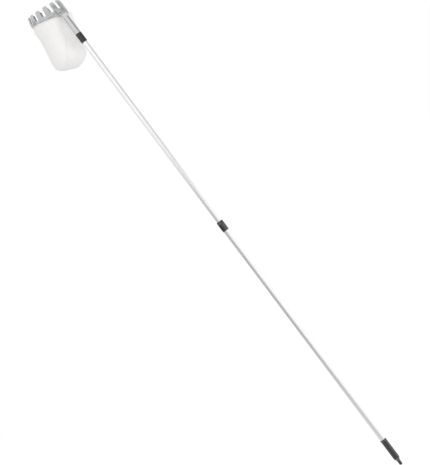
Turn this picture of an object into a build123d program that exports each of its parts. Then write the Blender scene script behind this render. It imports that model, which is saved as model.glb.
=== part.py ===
from build123d import *
import os
from math import cos, radians, sin

os.makedirs("parts", exist_ok=True)

# Lengths in millimetres. The origin is the centre of the hang hole, +Z runs up the pole,
# and the crown reaches out towards -X.

# Tubes
LOWER_R = 12.5
UPPER_R = 11.0
WALL = 0.9
LOWER_LOW, LOWER_HIGH = 39.5, 1223.5
UPPER_LOW, UPPER_HIGH = 1106.5, 2262.0
FIT = 0.05

# Hand grip
TIP_R = 7.0
TIP_DROP = 8.5
NECK_HIGH = 11.5
SHOULDER_HIGH = 28.5
GRIP_R = 13.25
GRIP_RIM_R = 13.9
GRIP_HIGH = 120.5
GRIP_BEAD = 8.0
GRIP_BEVEL = 0.7
HANG_R = 3.25
TAB_HALF = 4.5
TAB_HIGH = 8.0
END_PLUG_FLANGE = 3.0
END_PLUG_HIGH = 61.5

# Collar at the mouth of the lower tube
COLLAR_LOW, COLLAR_HIGH = 1190.5, 1237.5
COLLAR_R = 14.4
COLLAR_END_R = 13.9
COLLAR_ROUND = 1.2
COLLAR_TAPER = 14.0
COLLAR_LIP = 3.8
BUSH_SLIT = 2.0

# Twist lock, measured down from the plug's flange
LOCK_TOP = 1103.5
PLUG_LENGTH = 33.0
STUD_R = 4.0
STUD_IN = 20.0
STUD_OUT = 52.0
PIN_R = 1.5
PIN_UP = 26.0
SLEEVE_GAP = 0.5
SLEEVE_LOW = LOCK_TOP - 33.0
SLEEVE_SLIT = 1.6
SLEEVE_SLIT_HIGH = LOCK_TOP - 7.0
CAVITY_HIGH = LOCK_TOP - 9.0
CAVITY_TOP_R, CAVITY_LOW_R = 5.6, 9.2
CONE_GAP = 0.08
CONE_LENGTH = 21.0
CONE_BASE = 5.0
KEY_WIDTH = 1.2
KEY_R = 10.8
NUT_FLATS = 13.0
NUT_HEIGHT = 6.5

# Collar and socket under the crown
FERRULE_LOW, FERRULE_HIGH = 2156.5, 2200.5
FERRULE_R = 13.5
SPIGOT_HIGH = 2252.0
SOCKET_R = 13.5
SOCKET_WALL = 1.5
SOCKET_ROUND_HIGH = 2282.0
SEAM_WIDTH, SEAM_DEPTH = 1.0, 0.4
SCREW_Z = 2211.5
SCREW_R = 2.0
SCREW_HEAD_R = 3.8
SCREW_HEAD_HIGH = 2.2
TOP_PLUG_LOW, TOP_PLUG_HIGH = 2196.5, 2241.5

# Crown, in its own frame: x points at the socket, z along its axis, z = 0 at the roots of the gaps
REACH = 98.0
CROWN_Z = 2345.4
TILT = 8.1
FINGERS = 13
FINGER_TURN = -2.9  # the crown sits a little turned on its socket
BAND_R = 81.8
SHEET = 1.5
FINGER_HIGH = 34.8
FINGER_TIP_R = 70.5
BEND_LOW = -3.0
GAP_HALF = 7.2
TIP_CORNER = 3.0
LIP_WALL = 1.5
LIP_DEPTH = 4.5
RIM_LOW = -6.5
RIM_TURN_X = -15.0
RIM_SWEEP_R = 340.0
TANG_THICK = 3.0
TANG_HALF_DEG = 7.0
TANG_LOW, TANG_HIGH = -24.0, -1.5
TANG_RIVET_DEG = 3.6
TANG_RIVET_Z = -7.0
TANG_RIVET_R = 2.0
HEM_RIVET_R = 1.3
HEM_RIVET_Z = -3.7
HEM_RIVET_FINGERS = (-5, -3, -1, 1, 3, 5)
RIVET_TAIL = 0.9
OVERCUT = 9.0

# Bag
HEM_THICK = 1.6
HEM_LOW, HEM_HIGH = -13.0, -1.8
CLOTH = 2.0
BAG_TILTED = 25.0
FOOT_TURN = -36.0  # direction of the axis about which the foot of the bag slopes
# Drop below the hem, shift along X and Y, outer radius and slope of each level of the bag
BAG_LEVELS = (
    (0.0, 0.0, 0.0, 79.5, 0.0),
    (8.0, -1.5, 0.0, 80.0, 0.0),
    (20.0, -4.5, 2.5, 84.5, 0.0),
    (38.0, -5.5, 5.5, 86.0, 0.0),
    (62.0, -2.0, -2.0, 84.5, 0.0),
    (90.0, -6.5, -5.5, 83.5, 0.0),
    (120.0, -12.0, -10.0, 82.5, 2.0),
    (150.0, -18.0, -15.5, 80.5, 6.0),
    (182.0, -23.5, -19.5, 76.0, 11.0),
    (194.0, -30.5, -26.0, 68.5, 16.0),
    (203.0, -39.0, -33.0, 57.0, 20.0),
    (212.0, -43.0, -36.5, 41.5, 23.0),
    (216.0, -44.0, -37.0, 21.5, 25.0),
)

UP = (Align.CENTER, Align.CENTER, Align.MIN)
HEAD = Pos(-REACH, 0, CROWN_Z) * Rot(0, TILT, 0)


def rod(radius, low, high):
    """Round bar on the z axis between two heights."""
    return Pos(0, 0, low) * Cylinder(radius, high - low, align=UP)


def pipe(outer, inner, low, high):
    """Round tube on the z axis between two heights."""
    return rod(outer, low, high) - rod(inner, low, high)


def turned(outline):
    """Solid turned about the z axis from an outline of radius and height."""
    return revolve(make_face(Plane.XZ * outline), Axis.Z)


def spoke(radius, start, end, height, turn=0.0):
    """Round bar that runs outward from the z axis."""
    return Rot(0, 0, turn) * Pos(start, 0, height) * Rot(0, 90, 0) * Cylinder(radius, end - start, align=UP)


def crest(base, rise, seat):
    """Outline points of a low head with a bevelled edge, from the seat to the axis."""
    return [(base, seat), (0.6 * base, seat + rise), (0, seat + rise)]


def rivet(radius, tail, seat):
    """Rivet along +X with a flat inner head at tail and a bevelled outer head on seat."""
    head = 2 * radius
    end = tail - RIVET_TAIL
    stem = [(0, end), (head, end), (head, tail), (radius, tail), (radius, seat)]
    return Rot(0, 90, 0) * turned(Polyline(*stem, *crest(head, radius, seat), close=True))


# Lower pole
lower_tube = pipe(LOWER_R, LOWER_R - WALL, LOWER_LOW, LOWER_HIGH)

plug_seat = LOWER_LOW - END_PLUG_FLANGE
outline = ThreePointArc(
    (0, -TIP_DROP),
    (TIP_R * sin(radians(45)), TIP_R - TIP_DROP - TIP_R * cos(radians(45))),
    (TIP_R, TIP_R - TIP_DROP),
)
outline += Line((TIP_R, TIP_R - TIP_DROP), (TIP_R, NECK_HIGH))
outline += Spline((TIP_R, NECK_HIGH), (GRIP_R, SHOULDER_HIGH), tangents=((0, 1), (0, 1)))
outline += Polyline(
    (GRIP_R, SHOULDER_HIGH), (GRIP_R, GRIP_HIGH - GRIP_BEAD), (GRIP_RIM_R, GRIP_HIGH - GRIP_BEAD / 2),
    (GRIP_RIM_R, GRIP_HIGH - GRIP_BEVEL), (GRIP_RIM_R - GRIP_BEVEL, GRIP_HIGH), (LOWER_R + FIT, GRIP_HIGH),
    (LOWER_R + FIT, plug_seat - FIT), (0, plug_seat - FIT), (0, -TIP_DROP),
)
hand_grip = turned(outline)
for side in (-1, 1):
    hand_grip -= Pos(0, side * (TAB_HALF + TIP_R), TAB_HIGH - 10) * Box(4 * TIP_R, 2 * TIP_R, 20)
hand_grip -= Rot(90, 0, 0) * Cylinder(HANG_R, 4 * TIP_R)

tube_end_plug = rod(LOWER_R - 2 * FIT, plug_seat, LOWER_LOW - FIT)
tube_end_plug += pipe(LOWER_R - WALL - FIT, LOWER_R - WALL - 2.1, plug_seat, END_PLUG_HIGH)

lip_low = COLLAR_HIGH - COLLAR_LIP
collar_side = [
    (COLLAR_END_R - COLLAR_ROUND, 0), (COLLAR_END_R - 0.3 * COLLAR_ROUND, 0.3 * COLLAR_ROUND),
    (COLLAR_END_R, COLLAR_ROUND), (COLLAR_R, COLLAR_TAPER),
]
outline = Polyline(
    (LOWER_R + FIT, lip_low), (LOWER_R + FIT, COLLAR_LOW),
    *[(r, COLLAR_LOW + up) for r, up in collar_side],
    *[(r, COLLAR_HIGH - up) for r, up in reversed(collar_side)],
    (UPPER_R + 0.3, COLLAR_HIGH), (UPPER_R + 0.3, lip_low), close=True,
)
mid_collar = turned(outline)

guide_bush = pipe(LOWER_R, UPPER_R + FIT, LOWER_HIGH + FIT, lip_low - FIT)
guide_bush -= Pos(0, LOWER_R, lip_low - 5) * Box(BUSH_SLIT, 2 * WALL + 4, 20)

# Twist lock inside the tubes
lock_plug = rod(UPPER_R - 2 * FIT, LOCK_TOP, UPPER_LOW - FIT)
lock_plug += rod(UPPER_R - WALL - FIT, LOCK_TOP, LOCK_TOP + PLUG_LENGTH)
lock_plug -= rod(STUD_R + FIT, LOCK_TOP - 1, LOCK_TOP + STUD_IN + FIT)
pin_z = LOCK_TOP + PIN_UP
pin_hole = Pos(0, 0, pin_z) * Rot(90, 0, 0) * Cylinder(PIN_R + FIT, 3 * UPPER_R)
lock_plug -= pin_hole
plug_pin = Pos(0, 0, pin_z) * Rot(90, 0, 0) * Cylinder(PIN_R, 2 * UPPER_R - 0.2)
lock_stud = rod(STUD_R, LOCK_TOP - STUD_OUT, LOCK_TOP + STUD_IN)

cavity = turned(Polyline(
    (0, CAVITY_HIGH), (CAVITY_TOP_R, CAVITY_HIGH), (CAVITY_LOW_R, SLEEVE_LOW), (0, SLEEVE_LOW), close=True
))
expander_sleeve = rod(LOWER_R - WALL - FIT, SLEEVE_LOW, LOCK_TOP - SLEEVE_GAP) - cavity
expander_sleeve -= rod(STUD_R + 0.2, SLEEVE_LOW, LOCK_TOP)
slit_height = SLEEVE_SLIT_HIGH - SLEEVE_LOW
slit = Pos(0, 0, SLEEVE_LOW) * Box(3 * LOWER_R, SLEEVE_SLIT, slit_height, align=UP)
expander_sleeve -= slit
expander_sleeve -= Rot(0, 0, 90) * slit

taper = (CAVITY_LOW_R - CAVITY_TOP_R) / (CAVITY_HIGH - SLEEVE_LOW)
cone_low_r = CAVITY_LOW_R - CONE_GAP
lock_cone = turned(Polyline(
    (0, SLEEVE_LOW - CONE_BASE), (cone_low_r - 0.8, SLEEVE_LOW - CONE_BASE),
    (cone_low_r, SLEEVE_LOW - CONE_BASE + 0.8), (cone_low_r, SLEEVE_LOW),
    (cone_low_r - taper * CONE_LENGTH, SLEEVE_LOW + CONE_LENGTH), (0, SLEEVE_LOW + CONE_LENGTH), close=True,
))
lock_cone += Pos(0, 0, SLEEVE_LOW - CONE_BASE) * Box(
    2 * KEY_R, KEY_WIDTH, CONE_BASE + CONE_LENGTH - 4, align=UP
)
lock_cone -= rod(STUD_R + FIT, SLEEVE_LOW - 2 * CONE_BASE, LOCK_TOP)

nut_low = LOCK_TOP - STUD_OUT + 1.5
stop_nut = Pos(0, 0, nut_low) * extrude(RegularPolygon(NUT_FLATS / 2, 6, major_radius=False), NUT_HEIGHT)
stop_nut -= rod(STUD_R + FIT, nut_low, nut_low + NUT_HEIGHT)

# Upper pole
screw_hole = spoke(SCREW_R + FIT, 3, 2 * FERRULE_R, SCREW_Z)
upper_tube = pipe(UPPER_R, UPPER_R - WALL, UPPER_LOW, UPPER_HIGH) - pin_hole - screw_hole
tube_top_plug = rod(UPPER_R - WALL - FIT, TOP_PLUG_LOW, TOP_PLUG_HIGH) - screw_hole

spigot_r = SOCKET_R - SOCKET_WALL - FIT
head_ferrule = turned(Polyline(
    (UPPER_R + FIT, FERRULE_LOW), (FERRULE_R - 1.0, FERRULE_LOW), (FERRULE_R, FERRULE_LOW + 1.4),
    (FERRULE_R, FERRULE_HIGH - 0.6), (FERRULE_R - 0.4, FERRULE_HIGH), (spigot_r, FERRULE_HIGH),
    (spigot_r, SPIGOT_HIGH), (UPPER_R + FIT, SPIGOT_HIGH), close=True,
)) - screw_hole


def on_ring(radius, degrees):
    """Point of the crown's own plane at a radius and an angle from the socket."""
    return (radius * cos(radians(degrees)), radius * sin(radians(degrees)))


def four_arcs(points):
    """Closed outline of four arcs through eight points, corner and middle in turn."""
    outline = Curve()
    for i in range(0, 8, 2):
        outline += ThreePointArc(points[i], points[i + 1], points[(i + 2) % 8])
    return make_face(outline)


tang_in = BAND_R + FIT
tang_out = tang_in + TANG_THICK
tang_mid = (tang_in + tang_out) / 2
flat_points = [
    on_ring(tang_out, -TANG_HALF_DEG), on_ring(tang_out, 0), on_ring(tang_out, TANG_HALF_DEG),
    on_ring(tang_mid, TANG_HALF_DEG + 0.8), on_ring(tang_in, TANG_HALF_DEG), on_ring(tang_in, 0),
    on_ring(tang_in, -TANG_HALF_DEG), on_ring(tang_mid, -TANG_HALF_DEG - 0.8),
]
round_points = [on_ring(SOCKET_R, a) for a in (-80, 0, 80, 90, 100, 180, 260, 270)]
tang_root = (HEAD * Pos(tang_mid, 0, TANG_LOW)).position
tang_spots = [(HEAD * Pos(x, y, TANG_LOW)).position for x, y in flat_points]
levels = []
for share in (0, 0.33, 0.67):
    blend = share * share * (3 - 2 * share)
    height = SOCKET_ROUND_HIGH + share * (tang_root.Z - SOCKET_ROUND_HIGH)
    mixed = [
        ((1 - blend) * x + blend * spot.X, (1 - blend) * y + blend * spot.Y)
        for (x, y), spot in zip(round_points, tang_spots)
    ]
    levels.append(Pos(0, 0, height) * four_arcs(mixed))
flat_end = four_arcs(flat_points)
levels.append(HEAD * Pos(0, 0, TANG_LOW) * flat_end)
round_low = FERRULE_HIGH + FIT
head_socket = Pos(0, 0, round_low) * extrude(four_arcs(round_points), SOCKET_ROUND_HIGH - round_low)
head_socket += loft(levels)
head_socket += HEAD * Pos(0, 0, TANG_LOW) * extrude(flat_end, TANG_HIGH - TANG_LOW, dir=(0, 0, 1))
head_socket -= rod(SOCKET_R - SOCKET_WALL, FERRULE_HIGH, UPPER_HIGH + 3)
head_socket -= Pos(SOCKET_R, 0, FERRULE_HIGH) * Box(
    2 * SEAM_DEPTH, SEAM_WIDTH, SOCKET_ROUND_HIGH - FERRULE_HIGH, align=UP
)
head_socket -= screw_hole

screw_seat = SOCKET_R + FIT
stem = [(0, 4.5), (SCREW_R, 7), (SCREW_R, screw_seat)]
outline = Polyline(*stem, *crest(SCREW_HEAD_R, SCREW_HEAD_HIGH, screw_seat), close=True)
socket_screw = Pos(0, 0, SCREW_Z) * Rot(0, 90, 0) * turned(outline)

# Crown
rise = FINGER_HIGH - BEND_LOW
lean_in = BAND_R - FINGER_TIP_R
bend_r = (rise ** 2 + lean_in ** 2) / (2 * lean_in)


def bend_point(radius, height):
    """Point of the fingers' bend at a height, on an arc of the given radius."""
    return (BAND_R - bend_r + (radius ** 2 - (height - BEND_LOW) ** 2) ** 0.5, height)


edge_x = BAND_R + OVERCUT


def rim_height(x):
    """Height of the band's lower rim, which sweeps down towards the socket."""
    return RIM_LOW - RIM_SWEEP_R + (RIM_SWEEP_R ** 2 - (x - RIM_TURN_X) ** 2) ** 0.5


rim_deep = rim_height(edge_x)
inner_r = BAND_R - SHEET
half_way = (BEND_LOW + FINGER_HIGH) / 2
outline = Polyline((inner_r, BEND_LOW), (inner_r, rim_deep), (BAND_R, rim_deep), (BAND_R, BEND_LOW))
outline += ThreePointArc(
    (BAND_R, BEND_LOW), bend_point(bend_r, half_way), bend_point(bend_r, FINGER_HIGH)
)
outline += Line(bend_point(bend_r, FINGER_HIGH), bend_point(bend_r - SHEET, FINGER_HIGH))
outline += ThreePointArc(
    bend_point(bend_r - SHEET, FINGER_HIGH), bend_point(bend_r - SHEET, half_way), (inner_r, BEND_LOW)
)
crown = turned(outline)

sweep_x = (RIM_TURN_X + edge_x) / 2
sweep = ThreePointArc((RIM_TURN_X, RIM_LOW), (sweep_x, rim_height(sweep_x)), (edge_x, rim_deep))
sweep += Polyline(
    (edge_x, rim_deep), (edge_x, rim_deep - OVERCUT), (-edge_x, rim_deep - OVERCUT),
    (-edge_x, RIM_LOW), (RIM_TURN_X, RIM_LOW),
)
crown -= extrude(make_face(Plane.XZ * sweep), 2 * BAND_R, both=True)


def outward(outline):
    """Bar of the given outline that runs outward through the crown's wall."""
    return Pos(FINGER_TIP_R - 2 * OVERCUT, 0, 0) * extrude(make_face(Plane.YZ * outline), 5 * OVERCUT)


# The edges of each gap are turned in: a lip stands on the inside of the sheet round it
lip_half = GAP_HALF + LIP_WALL
lip_high = FINGER_HIGH - TIP_CORNER
lip_mid = (lip_high - LIP_WALL) / 2
pad = ThreePointArc((-lip_half, GAP_HALF), (0, -LIP_WALL), (lip_half, GAP_HALF))
pad += Polyline((lip_half, GAP_HALF), (lip_half, lip_high), (-lip_half, lip_high), (-lip_half, GAP_HALF))
zone = Curve()
for radius in (bend_r - LIP_DEPTH, bend_r - SHEET / 2):
    zone += ThreePointArc(*[bend_point(radius, height) for height in (-LIP_WALL, lip_mid, lip_high)])
for height in (-LIP_WALL, lip_high):
    zone += Line(bend_point(bend_r - LIP_DEPTH, height), bend_point(bend_r - SHEET / 2, height))
lip = turned(zone) & outward(pad)

tip_turn = TIP_CORNER * (1 - cos(radians(45)))
shoulder = GAP_HALF + TIP_CORNER
gap = ThreePointArc((-GAP_HALF, GAP_HALF), (0, 0), (GAP_HALF, GAP_HALF))
for side in (-1, 1):
    gap += Line((side * GAP_HALF, GAP_HALF), (side * GAP_HALF, lip_high))
    gap += ThreePointArc(
        (side * GAP_HALF, lip_high),
        (side * (GAP_HALF + tip_turn), FINGER_HIGH - tip_turn),
        (side * shoulder, FINGER_HIGH),
    )
    gap += Line((side * shoulder, FINGER_HIGH), (side * shoulder, FINGER_HIGH + OVERCUT))
gap += Line((-shoulder, FINGER_HIGH + OVERCUT), (shoulder, FINGER_HIGH + OVERCUT))
gap_cut = outward(gap)
pitch = 360 / FINGERS
gap_turns = [(k + 0.5) * pitch + FINGER_TURN for k in range(FINGERS)]
crown += [Rot(0, 0, turn) * lip for turn in gap_turns]
crown -= [Rot(0, 0, turn) * gap_cut for turn in gap_turns]

hem_turns = [k * pitch + FINGER_TURN for k in HEM_RIVET_FINGERS]
hem_holes = [
    spoke(HEM_RIVET_R + FIT, inner_r - OVERCUT, BAND_R + OVERCUT, HEM_RIVET_Z, a) for a in hem_turns
]
tang_turns = (-TANG_RIVET_DEG, TANG_RIVET_DEG)
tang_holes = [
    spoke(TANG_RIVET_R + FIT, inner_r - OVERCUT, BAND_R + OVERCUT, TANG_RIVET_Z, a) for a in tang_turns
]
picker_crown = HEAD * (crown - hem_holes - tang_holes)
head_socket -= [HEAD * hole for hole in tang_holes]

hem_out = inner_r - 0.2
hem_in = hem_out - HEM_THICK
bag_hem = HEAD * (pipe(hem_out, hem_in, HEM_LOW, HEM_HIGH) - hem_holes - tang_holes)

tail = hem_in - 0.15
hem_rivets = Part() + [
    HEAD * Rot(0, 0, a) * Pos(0, 0, HEM_RIVET_Z) * rivet(HEM_RIVET_R, tail, BAND_R + FIT)
    for a in hem_turns
]
socket_rivets = Part() + [
    HEAD * Rot(0, 0, a) * Pos(0, 0, TANG_RIVET_Z) * rivet(TANG_RIVET_R, tail, tang_out + FIT)
    for a in tang_turns
]

# Bag
hem_centre = (HEAD * Pos(0, 0, HEM_LOW)).position


def bag_loft(inset):
    """Loft through the bag's levels, drawn in and up by an inset."""
    depth = BAG_LEVELS[-1][0]
    sections = []
    for drop, x, y, radius, slope in BAG_LEVELS:
        tilt = TILT if drop < BAG_TILTED else 0
        centre = hem_centre + Vector(x, y, -drop * (1 - inset / depth))
        foot = Rot(0, 0, FOOT_TURN) * Rot(-slope, 0, 0) * Rot(0, 0, -FOOT_TURN)
        sections.append(Pos(*centre) * Rot(0, tilt, 0) * foot * Circle(radius - inset))
    return loft(sections, ruled=True)


fruit_bag = bag_loft(0) - bag_loft(CLOTH)

NODES = {
    "lower_tube": lower_tube,
    "hand_grip": hand_grip,
    "tube_end_plug": tube_end_plug,
    "mid_collar": mid_collar,
    "guide_bush": guide_bush,
    "expander_sleeve": expander_sleeve,
    "lock_cone": lock_cone,
    "lock_stud": lock_stud,
    "lock_plug": lock_plug,
    "plug_pin": plug_pin,
    "stop_nut": stop_nut,
    "upper_tube": upper_tube,
    "tube_top_plug": tube_top_plug,
    "head_ferrule": head_ferrule,
    "head_socket": head_socket,
    "socket_screw": socket_screw,
    "picker_crown": picker_crown,
    "socket_rivets": socket_rivets,
    "hem_rivets": hem_rivets,
    "bag_hem": bag_hem,
    "fruit_bag": fruit_bag,
}
for name, shape in NODES.items():
    export_step(shape, f"parts/{name}.step")
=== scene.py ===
from math import atan2, cos, exp, pi, radians, sin, sqrt

import bmesh
import bpy
from bpy.props import FloatProperty, FloatVectorProperty, IntProperty, PointerProperty
from bpy.types import Operator, Panel, PropertyGroup
from mathutils import Matrix, Vector


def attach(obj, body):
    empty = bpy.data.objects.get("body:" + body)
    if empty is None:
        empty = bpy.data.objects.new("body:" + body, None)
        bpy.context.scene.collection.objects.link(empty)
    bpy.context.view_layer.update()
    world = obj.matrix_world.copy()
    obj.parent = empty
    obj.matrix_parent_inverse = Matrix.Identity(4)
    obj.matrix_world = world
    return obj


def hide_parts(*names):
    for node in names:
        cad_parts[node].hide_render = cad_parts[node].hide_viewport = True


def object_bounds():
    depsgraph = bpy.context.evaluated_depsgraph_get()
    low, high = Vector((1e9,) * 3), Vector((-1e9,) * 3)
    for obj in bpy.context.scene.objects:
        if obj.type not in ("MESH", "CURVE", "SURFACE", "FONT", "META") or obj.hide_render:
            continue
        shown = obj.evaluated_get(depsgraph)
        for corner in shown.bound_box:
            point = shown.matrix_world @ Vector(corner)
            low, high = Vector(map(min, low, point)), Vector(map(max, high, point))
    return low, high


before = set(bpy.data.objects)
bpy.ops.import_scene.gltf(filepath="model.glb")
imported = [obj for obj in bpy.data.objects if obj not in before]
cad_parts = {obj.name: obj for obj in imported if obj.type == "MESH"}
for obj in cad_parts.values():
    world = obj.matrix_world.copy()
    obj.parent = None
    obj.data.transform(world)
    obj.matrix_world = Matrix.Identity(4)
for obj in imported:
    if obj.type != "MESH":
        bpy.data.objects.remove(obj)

bl_info = {
    "name": "Fruit Picker Pole",
    "version": (1, 0, 0),
    "blender": (4, 5, 0),
    "location": "3D View > Sidebar > Picker Pole",
    "description": "Dresses the fruit picker pole: crown, bag, fasteners, finishes and stage",
    "category": "Object",
}

# The CAD box is taken straight after the load, before any piece is added
CAD_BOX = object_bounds()

# Lengths are in metres, in the frame of the CAD model: +Z up the pole, the crown towards -X
MM = 0.001

# Crown, in its own frame: x points at the socket, z along its axis, z = 0 at the roots of the gaps
HEAD_TILT = radians(8.1)
HEAD = Matrix.Translation((-98.0 * MM, 0, 2345.4 * MM)) @ Matrix.Rotation(HEAD_TILT, 4, "Y")
HEAD_BACK = HEAD.inverted()
FINGER_TURN = radians(-2.9)
FINGER_HIGH, FINGER_TIP_R = 38.6 * MM, 74.5 * MM
BAND_R = 81.8 * MM
BEND_LOW = -3.0 * MM
GAP_HALF = 8.0 * MM
TIP_CORNER = 2.0 * MM
# Lower rim of the band: level on the far side, then an arc down towards the socket
RIM_LOW = -6.5 * MM
RIM_TURN_X = -15.0 * MM
RIM_SWEEP_R = 340.0 * MM
# Flare: the band leans out towards its lower rim, but stays straight under the tang
FLARE, FLARE_DEEP = radians(9.0), 12.0 * MM
FLARE_FROM_TANG = (radians(8.0), radians(16.0))
# Apron: the part of the band that reaches down behind the socket
APRON_DEEP = 21.0 * MM
APRON_TURN, APRON_HALF = radians(22.0), radians(25.0)

# Rivets: radius of the stem, and where the inner head, the seat and the axis lie
RIVET_TAIL = 78.35 * MM
HEM_RIVET_R, HEM_RIVET_Z = 1.3 * MM, -3.7 * MM
HEM_RIVET_FINGERS = (-5, -3, -1, 1, 3, 5)
TANG_RIVET_R, TANG_RIVET_Z = 2.0 * MM, -7.0 * MM
TANG_RIVET_TURN = radians(3.6)
TANG_OUT = 84.9 * MM

# Hem: a tape inside the band, puckered and slightly wavy towards its lower edge
HEM_R = 79.3 * MM
HEM_LOW, HEM_HIGH = -13.0 * MM, -1.8 * MM
HEM_CENTRE = HEAD @ Vector((0, 0, HEM_LOW))
HEM_PUCKER = 0.35 * MM
HEM_WAVE, HEM_WAVES, HEM_WAVE_START = 0.4 * MM, 11, 0.7

# Bag: drop below the hem, shift along X and Y, radius and slope of each level, in millimetres and degrees
BAG_LEVELS = (
    (0.0, 0.0, 0.0, 79.0, 0.0),
    (8.0, -1.5, 0.0, 80.0, 0.0),
    (20.0, -4.5, 2.5, 84.5, 0.0),
    (38.0, -5.5, 5.5, 86.0, 0.0),
    (62.0, -2.0, -2.0, 84.5, 0.0),
    (90.0, -6.5, -5.5, 83.5, 0.0),
    (120.0, -12.0, -10.0, 82.5, 2.0),
    (150.0, -18.0, -15.5, 80.5, 6.0),
    (182.0, -23.5, -19.5, 76.0, 11.0),
    (194.0, -30.5, -26.0, 68.5, 16.0),
    (203.0, -39.0, -33.0, 57.0, 20.0),
    (212.0, -43.0, -36.5, 41.5, 23.0),
    (216.0, -44.0, -37.0, 21.5, 25.0),
)
FOOT_TURN = Matrix.Rotation(radians(-36.0), 3, "Z")
# The cloth lies inside the band: fully from just under its rim, and less and less further down
CLOTH_R = 79.9 * MM
COVER_START, COVER_FULL = 12.0 * MM, 1.0 * MM
# Its mouth has the crown's tilt, which it loses between these drops, in millimetres
TILT_FROM, TILT_TO = 16.0, 40.0
# Folds: how far each stands out or in, the drop at its middle, and its reach, in millimetres
GATHER_OUT, GATHER_DROP, GATHER_REACH = 0.9, 20.0, 26.0
PUFF_OUT, PUFF_DROP, PUFF_REACH = 8.0, 20.0, 14.0
FLAT_IN, FLAT_DROP, FLAT_REACH = 26.0, 90.0, 60.0
# Angles of the puff and of the flat side next to the pole
PUFF_TURN, PUFF_HALF, FLAT_HALF = radians(62.0), radians(30.0), radians(32.0)
# Gathers round the mouth, with an uneven spacing, and the slack waves further down
GATHERS, GATHER_DRIFT, GATHER_DRIFTS = 19, 1.3, 3
SAG_OUT, SAG_START, SAG_SLANT, SAG_END = 1.2, 0.9, 90.0, 200.0
# Side seam: it slants round the bag, in degrees for each millimetre, as a ridge in a groove
SEAM_START, SEAM_SLANT, SEAM_SLANT_END = 30.0, 0.4, 178.0
GROOVE_IN, GROOVE_MORE, GROOVE_HALF = 0.8, 2.2, 6.0
GROOVE_MORE_FROM, GROOVE_MORE_TO = 60.0, 190.0
RIDGE_OUT, RIDGE_HALF = 0.9, 2.5
# Notch: the level where the seam starts to draw the bottom up, and its half width in millimetres
NOTCH_FROM, NOTCH_HALF = 7.5, 16.0
# Stitching: step from stitch to stitch in stitches, and the share of a step that is thread
THREAD = 0.55 * MM
STITCH_STEP, STITCH_SHOWN = 1.25, 0.8
HEM_STITCH_UP, HEM_STITCH_OUT = 2.2 * MM, 0.1 * MM
# Seam's rows of stitches: angle from the seam, and the levels between which they run
SEAM_STITCH = 0.055
SEAM_STITCH_FROM, SEAM_STITCH_TO = 1.0, 11.0

# Socket: a round tube that is pressed flat into a tang on the band's outside
SOCKET_R, SOCKET_TOP_R = 13.5 * MM, 12.2 * MM
SOCKET_LOW, SOCKET_ROUND_HIGH = 2200.6 * MM, 2298.0 * MM
SOCKET_SEAM_DEEP, SOCKET_SEAM_HALF = 0.5 * MM, 0.6 * MM
SOCKET_DULL_REACH = 8.0 * MM
SOCKET_EDGE = 0.5 * MM
# Share of the tube's length where its taper starts
SOCKET_TAPER_FROM = 0.2
TANG_IN, TANG_THICK = 81.85 * MM, 3.0 * MM
TANG_HALF = radians(7.0)
TANG_LOW, TANG_HIGH = -24.0 * MM, -1.5 * MM

# Screw in the socket: its place, head, thread and cross recess
SCREW_Z, SCREW_SEAT = 2211.5 * MM, 13.55 * MM
SCREW_HEAD_R, SCREW_HEAD_HIGH, SCREW_FLAT_R = 3.8 * MM, 2.2 * MM, 1.9 * MM
SCREW_R, SCREW_CORE_R, SCREW_PITCH, SCREW_END = 2.0 * MM, 1.55 * MM, 0.8 * MM, -9.0 * MM
RECESS_REACH, RECESS_ARM, RECESS_DEEP, RECESS_TAPER = 1.55 * MM, 0.42 * MM, 1.4 * MM, 0.6

# Stud of the twist lock
STUD_LOW, STUD_HIGH = 1051.5 * MM, 1123.5 * MM
STUD_R, STUD_CORE_R, STUD_PITCH, STUD_BEVEL = 4.0 * MM, 3.35 * MM, 1.5 * MM, 0.8 * MM

# Camera: the lens and the place that give the photograph's view of the leaning pole
CAMERA_AZIMUTH = radians(53.2)
CAMERA_AWAY, CAMERA_ASIDE, CAMERA_UP = 5.74, -0.0413, 1.2115
CAMERA_ROLL = radians(-36.88)
CAMERA_LENS = 108.4


def linear(hex_colour):
    """Turn an sRGB hex colour into the linear values that shaders use."""
    steps = [int(hex_colour[i:i + 2], 16) / 255 for i in (0, 2, 4)]
    return tuple(c / 12.92 if c <= 0.04045 else ((c + 0.055) / 1.055) ** 2.4 for c in steps)


# What the settings of a kind share
A_LENGTH = {"unit": "LENGTH", "subtype": "DISTANCE"}
A_COLOUR = {"subtype": "COLOR", "min": 0, "max": 1}


class PickerSizes(PropertyGroup):
    """Sizes of the pieces that are modelled here."""

    fingers: IntProperty(
        name="Fingers", description="Picking fingers round the crown", default=13, min=7, max=17)
    sheet: FloatProperty(
        name="Sheet", description="Thickness of the crown's sheet", default=1.2 * MM, **A_LENGTH)
    roll: FloatProperty(
        name="Roll", description="Radius of the rolled edge round each gap and fingertip",
        default=3.3 * MM, **A_LENGTH)
    lip: FloatProperty(
        name="Lip", description="Depth of that edge behind the crown's face",
        default=3.9 * MM, **A_LENGTH)
    cloth: FloatProperty(
        name="Cloth", description="Thickness of the bag's cotton", default=0.7 * MM, **A_LENGTH)
    tape: FloatProperty(
        name="Tape", description="Thickness of the sewn hem", default=1.5 * MM, **A_LENGTH)
    notch: FloatProperty(
        name="Notch", description="Depth of the crease where the seam crosses the bag's bottom",
        default=3.5 * MM, **A_LENGTH)
    stitch: FloatProperty(
        name="Stitch", description="Length of one stitch", default=3.4 * MM, **A_LENGTH)


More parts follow.
